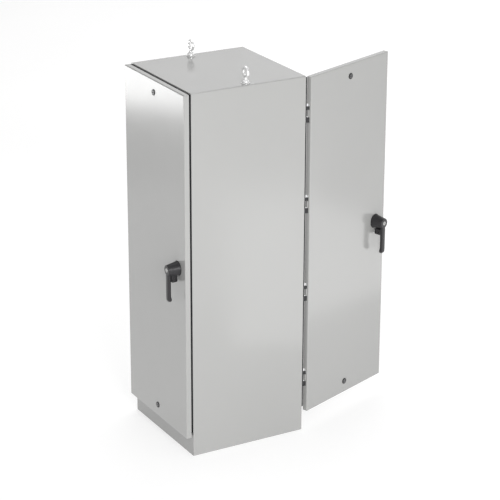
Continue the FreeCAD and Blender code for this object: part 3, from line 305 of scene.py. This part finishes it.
def finished(name, bm):
    """A smooth mesh from the bmesh, scaled from millimetres."""
    bmesh.ops.remove_doubles(bm, verts=bm.verts, dist=1e-5)
    bmesh.ops.recalc_face_normals(bm, faces=bm.faces)
    bmesh.ops.scale(bm, vec=(MM, MM, MM), verts=bm.verts)
    for face in bm.faces:
        face.smooth = True
    mesh = bpy.data.meshes.new(name)
    bm.to_mesh(mesh)
    bm.free()
    return mesh


def lathe(bm, place, profile, steps=64):
    """Turn (radius, height) points round the place's Z axis."""
    rings = []
    for radius, height in profile:
        count = steps if radius else 1
        turns = [2 * math.pi * i / count for i in range(count)]
        spots = [Vector((radius * math.cos(t), radius * math.sin(t), height)) for t in turns]
        rings.append([bm.verts.new(place @ spot) for spot in spots])
    for low, high in zip(rings, rings[1:]):
        for i in range(steps):
            j = (i + 1) % steps
            corners = [low[i % len(low)], low[j % len(low)], high[j % len(high)], high[i % len(high)]]
            bm.faces.new(list(dict.fromkeys(corners)))


def block(bm, low, high):
    """A rectangular block between two corners."""
    low, high = Vector(low), Vector(high)
    size = Matrix.Diagonal((*(high - low), 1))
    bmesh.ops.create_cube(bm, size=1, matrix=Matrix.Translation((low + high) / 2) @ size)


def plate(bm, place, outline, low, high):
    """A flat outline in the place's XY plane, extruded between two heights."""
    face = bm.faces.new([bm.verts.new(place @ Vector((x, y, low))) for x, y in outline])
    risen = bmesh.ops.extrude_face_region(bm, geom=[face])["geom"]
    up = place.to_3x3() @ Vector((0, 0, high - low))
    bmesh.ops.translate(bm, vec=up, verts=[v for v in risen if isinstance(v, bmesh.types.BMVert)])


def millimetres(corners):
    return [Vector(corner) / MM for corner in corners]


def on_door(side, joint):
    """A place on a door's outer face, in millimetres: X along the door, Y up, Z outwards."""
    out = -Vector(JOINT[f"{side}_handle_turn"]["axis"])
    up = Vector((0, 0, 1))
    turn = Matrix((up.cross(out), up, out)).transposed().to_4x4()
    return Matrix.Translation(Vector(JOINT[f"{side}_{joint}"]["pos_m"]) / MM) @ turn


# ---------------------------------------------------------------- lifting eyes
EYE_RING_R = 21.0
EYE_WIRE_R = 7.2
EYE_FIXINGS = metal("bright_plated_washer", (0.86, 0.86, 0.86), 0.32, metallic=0.5)
EYE_WIRE_FLAT = 1.06
FORGING_GRAIN = 0.8
THREAD_R = 7.9
THREAD_DEEP = 0.5
THREAD_LOW = -26
COLLAR = ((0, 2.5), (16.6, 2.5), (17.8, 3.7), (17.8, 10.8), (16.4, 13.0), (14.2, 13.9), (11.9, 17.0),
          (10.0, 22.0), (8.4, 27.0), (6.6, 31.5), (0, 32.0))
WASHER = ((8.2, 0.05), (20.2, 0.05), (20.9, 0.6), (20.9, 1.9), (20.2, 2.5), (8.2, 2.5))
NUT = ((8.0, -15.0), (12.4, -15.0), (13.8, -14.0), (13.8, -3.0), (12.4, -2.05), (8.0, -2.05))


def lifting_eye(name):
    """A drop-forged eye bolt: ring, neck and collar flow into each other."""
    ring_at = Vector(MOUNT[name]["pos_m"]) / MM
    top = Matrix.Translation((ring_at.x, ring_at.y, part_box("body_wrap")[1][2] / MM))
    upright = Matrix.Translation(ring_at) @ Matrix.Rotation(math.pi / 2, 4, "X")
    turns = [2 * math.pi * i / 24 for i in range(25)]
    wire = [(EYE_RING_R + EYE_WIRE_R * math.cos(t), EYE_WIRE_R * EYE_WIRE_FLAT * math.sin(t))
            for t in turns]

    bm = bmesh.new()
    lathe(bm, top, COLLAR, 48)
    lathe(bm, upright, wire, 72)
    forging = new_piece(f"{name}_forging", finished(name, bm), "lifting_eyes")
    remesh = forging.modifiers.new("one_forging", "REMESH")
    remesh.mode = "VOXEL"
    remesh.voxel_size = FORGING_GRAIN * MM
    remesh.use_smooth_shade = True
    smooth = forging.modifiers.new("flow", "SMOOTH")
    smooth.factor = 0.5
    smooth.iterations = 9

    bm = bmesh.new()
    lathe(bm, top, WASHER)
    lathe(bm, top, NUT, 6)
    thread = [(THREAD_R - THREAD_DEEP * (z % 2), z) for z in range(THREAD_LOW, 2)]
    lathe(bm, top, [(0, THREAD_LOW), *thread, (0, 1)], 32)
    fixings = new_piece(f"{name}_fixings", finished(name, bm), "lifting_eyes", look=EYE_FIXINGS)
    broken_edges(fixings, 0.2 * MM, angle=50)


for name in ("lifting_eye_left", "lifting_eye_right"):
    lifting_eye(name)


# ---------------------------------------------------------------- door furniture
HANDLE_GASKET = ((33.0, 0.05), (35.9, 0.05), (36.4, 0.6), (36.2, 1.5), (35.0, 1.9), (33.0, 1.9), (33.0, 0.05))
LATCH_INSERT_R = 8.6
LATCH_SLOT_HALF = 1.35
LATCH_INSERT_Z = (2.4, 3.3)
LATCH_METAL = metal("dull_zinc_casting", (0.22, 0.22, 0.225), 0.42)


def half_moon(sign):
    """The outline of one side of a slotted insert."""
    start = math.asin(LATCH_SLOT_HALF / LATCH_INSERT_R)
    turns = [start + (math.pi - 2 * start) * i / 24 for i in range(25)]
    return [(LATCH_INSERT_R * math.cos(t), sign * LATCH_INSERT_R * math.sin(t)) for t in turns]


for side in SIDES:
    bm = bmesh.new()
    lathe(bm, on_door(side, "handle_turn"), HANDLE_GASKET)
    name = f"{side}_handle_gasket"
    new_piece(name, finished(name, bm), f"{side}_handle_base", replaces=False, slot="gasket_foam")
    for end in ("top", "bottom"):
        bm = bmesh.new()
        for sign in (-1, 1):
            plate(bm, on_door(side, f"{end}_latch_turn"), half_moon(sign), *LATCH_INSERT_Z)
        name = f"{side}_{end}_latch_insert"
        insert = new_piece(name, finished(name, bm), f"{side}_{end}_latch", False, LATCH_METAL, "lock_steel")
        broken_edges(insert, 0.25 * MM)


# ---------------------------------------------------------------- controller front
LAMP = ((2.9, -1.8), (2.9, 0.4), (2.5, 1.3), (1.5, 2.0), (0, 2.3))
COLLAR_RING = ((9.4, 0.02), (12.4, 0.02), (12.4, 1.2), (11.6, 2.2), (9.9, 2.2), (9.4, 1.7), (9.4, 0.02))
HOUSING = millimetres(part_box("controller_housing"))
LAMP_DOWN = 40.0
GLASS_MARGIN = 2.0
BAR_LONGS = (86, 64, 94, 40, 72)
BAR_PITCH = 13
BAR_HALF = 2.5
BAR_INSET = 14
BAR_DOWN = 16
LENS_GREEN = plastic("green_lens", (0.03, 0.38, 0.08), 0.14, 300.0)
LENS_AMBER = plastic("amber_lens", (0.62, 0.24, 0.02), 0.14, 300.0)
SCREEN = plastic("liquid_crystal", (0.30, 0.36, 0.24), 0.22, 500.0)


def on_housing(x, z):
    """A place on the controller's front face: Z outwards."""
    return Matrix.Translation((x, HOUSING[0].y, z)) @ Matrix.Rotation(math.pi / 2, 4, "X")


for name, inset, look in (("supply_lamp", 40.0, LENS_GREEN), ("standby_lamp", 20.0, LENS_AMBER)):
    bm = bmesh.new()
    lathe(bm, on_housing(HOUSING[1].x - inset, HOUSING[1].z - LAMP_DOWN), LAMP, 40)
    new_piece(name, finished(name, bm), "controller_housing", replaces=False, look=look)
for which in ("test", "reset"):
    low, high = millimetres(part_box(f"{which}_button"))
    bm = bmesh.new()
    lathe(bm, on_housing((low.x + high.x) / 2, (low.z + high.z) / 2), COLLAR_RING)
    name = f"{which}_button_collar"
    new_piece(name, finished(name, bm), "controller_housing", replaces=False, slot="fastener_steel")

low, high = millimetres(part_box("controller_window"))
bm = bmesh.new()
block(bm, (low.x + GLASS_MARGIN, high.y + 0.3, low.z + GLASS_MARGIN),
      (high.x - GLASS_MARGIN, high.y + 0.9, high.z - GLASS_MARGIN))
screen = new_piece("display_glass", finished("display_glass", bm), "controller_housing", False, SCREEN)
broken_edges(screen, 0.2 * MM)
bm = bmesh.new()
for row, long in enumerate(BAR_LONGS):
    x, z = low.x + BAR_INSET, high.z - BAR_DOWN - BAR_PITCH * row
    block(bm, (x, high.y + 0.1, z - BAR_HALF), (x + long, high.y + 0.35, z + BAR_HALF))
bars = finished("display_bars", bm)
bars = new_piece("display_bars", bars, "controller_housing", False, LOOKS["switch_plastic"])
broken_edges(bars, 0.1 * MM)


# ---------------------------------------------------------------- finished CAD shapes
EDGES = {
    "body_wrap": 0.6, "front_opening_frame": 0.6, "rear_opening_frame": 0.6, "floor_pan": 0.6,
    "plinth_panels": 0.6, "hinge_body_leaves": 0.4, "hinge_pins": 0.3, "panel_rails": 0.5,
    "mounting_panel": 0.5, "panel_screws": 0.6, "switch_base": 1.0, "arc_chutes": 0.8,
    "switch_side_frames": 0.6, "operator_coil": 0.6, "operator_plunger": 0.6, "bus_sources": 0.8,
    "bus_load": 0.8, "bus_insulators": 1.2, "bus_bolts": 0.7, "cable_lugs": 1.0, "neutral_bar": 0.8,
    "ground_bar": 0.8, "current_transformers": 1.6, "controller_housing": 0.8, "controller_window": 0.4,
    "control_transformer": 1.0, "fuse_blocks": 0.7, "control_relays": 0.7, "wiring_ducts": 0.4,
    "contact_shaft": 0.6, "manual_handle": 0.8, "test_button": 0.4, "reset_button": 0.4,
    "front_document_pocket": 0.8,
}
DOOR_EDGES = {
    "door_panel": 0.6, "door_gasket": 3.2, "door_brackets": 0.4, "door_hinge_leaves": 0.4,
    "latch_cam": 0.4, "key_lock": 0.4, "upper_rod": 0.4, "lower_rod": 0.4, "top_latch": 0.4,
    "bottom_latch": 0.4, "handle_base": 1.4, "handle_lever": 1.4,
}
for side in SIDES:
    EDGES.update({f"{side}_{node}": edge for node, edge in DOOR_EDGES.items()})
RINGED = ("front_door_gasket", "rear_door_gasket", "switch_base", "wiring_ducts", "fuse_blocks")
PIECES = {node: softened(node, edge, 3 if edge > 1.1 else 2, node not in RINGED)
          for node, edge in EDGES.items()}
# The plinth takes the darker grey as painted shade for the shadow under the overhanging doors.
PIECES["plinth_panels"].data.materials[0] = paint("plinth_painted_shade", PLINTH_SHADE_GREY)

for node, cad in frame["nodes"].items():
    cad.data.materials.clear()
    cad.data.materials.append(LOOKS[SLOT_OF[node]])

PANEL_THICK = 3.0
COIL_PLATE = 6.1
CORE_HALF_X, CORE_HALF_Z, CORE_FACE_Y = 43.5, 33.5, 30
CRANK_END_R = 48
SHAFT_BOSS_R = 19.5
BLADES_HALF_X = 170
TERMINALS_TOP_Z = 400
SOCKET_DEEP = 26.1
BAR_SCREW_HEAD = 6.2
GLAND_SCREW_HEAD = 5.2
GLAND_SCREW_OUT = 185

panel_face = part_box("mounting_panel")[1][1] / MM - PANEL_THICK
neutral_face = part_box("neutral_bar")[1][1] / MM
ground_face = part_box("ground_bar")[1][0] / MM
pan_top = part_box("floor_pan")[1][2] / MM
coil_low, coil_high = millimetres(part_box("operator_coil"))
core = sum(millimetres(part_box("control_transformer")), Vector()) / 2
shaft = Vector(JOINT["transfer_turn"]["pos_m"]) / MM


def on_coil_plates(x, y, z):
    return not coil_low.z + COIL_PLATE < z < coil_high.z - COIL_PLATE


def on_transformer_core(x, y, z):
    beside_winding = abs(x - core.x) > CORE_HALF_X or abs(z - core.z) > CORE_HALF_Z
    return beside_winding or abs(abs(y) - CORE_FACE_Y) < 0.5


def on_contact_blades(x, y, z):
    off_axis = math.hypot(y - shaft.y, z - shaft.z)
    return abs(x) < BLADES_HALF_X and y > shaft.y and off_axis > SHAFT_BOSS_R


SECOND_LOOKS = (
    ("operator_coil", LOOKS["galvanised_steel"], on_coil_plates),
    ("control_transformer", laminated("transformer_core"), on_transformer_core),
    ("contact_shaft", LOOKS["copper"], on_contact_blades),
    ("manual_handle", LOOKS["fastener_steel"],
     lambda x, y, z: math.hypot(y - shaft.y, z - shaft.z) < CRANK_END_R),
    ("fuse_blocks", LOOKS["duct_grey"], lambda x, y, z: z < TERMINALS_TOP_Z),
    ("control_relays", LOOKS["control_plastic"], lambda x, y, z: y > panel_face - SOCKET_DEEP),
    ("neutral_bar", LOOKS["fastener_steel"], lambda x, y, z: y > neutral_face - BAR_SCREW_HEAD),
    ("ground_bar", LOOKS["fastener_steel"], lambda x, y, z: x > ground_face - BAR_SCREW_HEAD),
    ("floor_pan", LOOKS["galvanised_steel"],
     lambda x, y, z: z > pan_top - GLAND_SCREW_HEAD and max(abs(x), abs(y)) > GLAND_SCREW_OUT),
)
for node, look, test in SECOND_LOOKS:
    second_look(PIECES[node], look, test)


# ---------------------------------------------------------------- stage, light and camera
FLOOR_PROFILE = ((0, -0.5), (60000, -0.5), (63000, 500), (64000, 2200), (64200, 8000))
# name: place, aim, size, power in watts, roll about its own axis in degrees
LIGHTS = {
    "top_box": ((-1.5, 0.2, 5.0), (-0.1, 0, 1), (3.0, 3.0), 52, 0),
    "right_box": ((4.3, -1.2, 2.2), (0.2, 0, 1.0), (1.6, 1.6), 120, 0),
    "low_left_box": ((-3.55, -2.2, 0.70), (0, -0.3, 0.70), (2.8, 0.44), 15, -8),
    "floor_bounce": ((1.86, 2.34, 0.01), (1.86, 2.34, 2.0), (2.6, 2.8), 16, -28),
    "back_wash": ((-4.5, 5.5, 4.0), (-4.5, 5.5, 0), (8.0, 8.0), 210, 0),
}
WORLD_DIM = 0.17
WORLD_BRIGHT = 0.65
WORLD_TOWARDS = (0.8, 0.05, 0.35)


def floor():
    """A wide pale floor that turns up into a low backdrop far behind everything."""
    bm = bmesh.new()
    lathe(bm, Matrix(), FLOOR_PROFILE, 96)
    plane = bpy.data.objects.new("studio_floor", finished("studio_floor", bm))
    bpy.context.scene.collection.objects.link(plane)
    m = Nodes("pale_floor")
    m.set(Roughness=0.6, Specular_IOR_Level=0.2, Emission_Color=(1, 1, 1, 1), Emission_Strength=0.65)
    m.link(m.ramp(m.noise(0.6, 2), (0.39, 0.39, 0.39, 1), (0.41, 0.41, 0.41, 1)), "Base Color")
    plane.data.materials.append(m.material)


def area_light(name, place, aim, size, power, turn):
    data = bpy.data.lights.new(name, "AREA")
    data.shape = "RECTANGLE"
    data.size, data.size_y = size
    data.energy = power
    lamp = bpy.data.objects.new(name, data)
    lamp.location = place
    aimed = (Vector(aim) - Vector(place)).to_track_quat("-Z", "Y").to_matrix()
    lamp.rotation_euler = (aimed @ Matrix.Rotation(math.radians(turn), 3, "Z")).to_euler()
    lamp.visible_camera = False
    bpy.context.scene.collection.objects.link(lamp)


def world_light(dim, bright, towards):
    """A plain white surround whose strength rises smoothly from one side to the other."""
    world = bpy.data.worlds.new("studio")
    world.use_nodes = True
    tree = world.node_tree
    direction = tree.nodes.new("ShaderNodeTexCoord").outputs["Generated"]
    along = tree.nodes.new("ShaderNodeVectorMath")
    along.operation = "DOT_PRODUCT"
    along.inputs[1].default_value = Vector(towards).normalized()
    strength = tree.nodes.new("ShaderNodeMapRange")
    for name, value in (("From Min", -1), ("From Max", 1), ("To Min", dim), ("To Max", bright)):
        strength.inputs[name].default_value = value
    background = tree.nodes["Background"]
    background.inputs["Color"].default_value = (1, 1, 1, 1)
    tree.links.new(direction, along.inputs[0])
    tree.links.new(along.outputs["Value"], strength.inputs["Value"])
    tree.links.new(strength.outputs["Result"], background.inputs["Strength"])
    bpy.context.scene.world = world


CAMERA_AZIMUTH = 60.38
CAMERA_ELEVATION = 20.81
CAMERA_DISTANCE = 10.158
CAMERA_LENS = 144.04
CAMERA_TARGET = (-0.2233, 0.3065, 0.7830)
CAMERA_ROLL = 0.193


def camera():
    a, e = math.radians(CAMERA_AZIMUTH), math.radians(CAMERA_ELEVATION)
    back = Vector((math.sin(a) * math.cos(e), -math.cos(a) * math.cos(e), math.sin(e)))
    data = bpy.data.cameras.new("view")
    data.lens = CAMERA_LENS
    data.sensor_width = 36
    eye = bpy.data.objects.new("view", data)
    eye.location = Vector(CAMERA_TARGET) + back * CAMERA_DISTANCE
    turn = (-back).to_track_quat("-Z", "Y").to_matrix().to_4x4()
    eye.rotation_euler = (turn @ Matrix.Rotation(math.radians(CAMERA_ROLL), 4, "Z")).to_euler()
    bpy.context.scene.collection.objects.link(eye)
    bpy.context.scene.camera = eye


floor()
world_light(WORLD_DIM, WORLD_BRIGHT, WORLD_TOWARDS)
for name, setting in LIGHTS.items():
    area_light(name, *setting)
camera()
bpy.context.scene.view_settings.view_transform = "Standard"
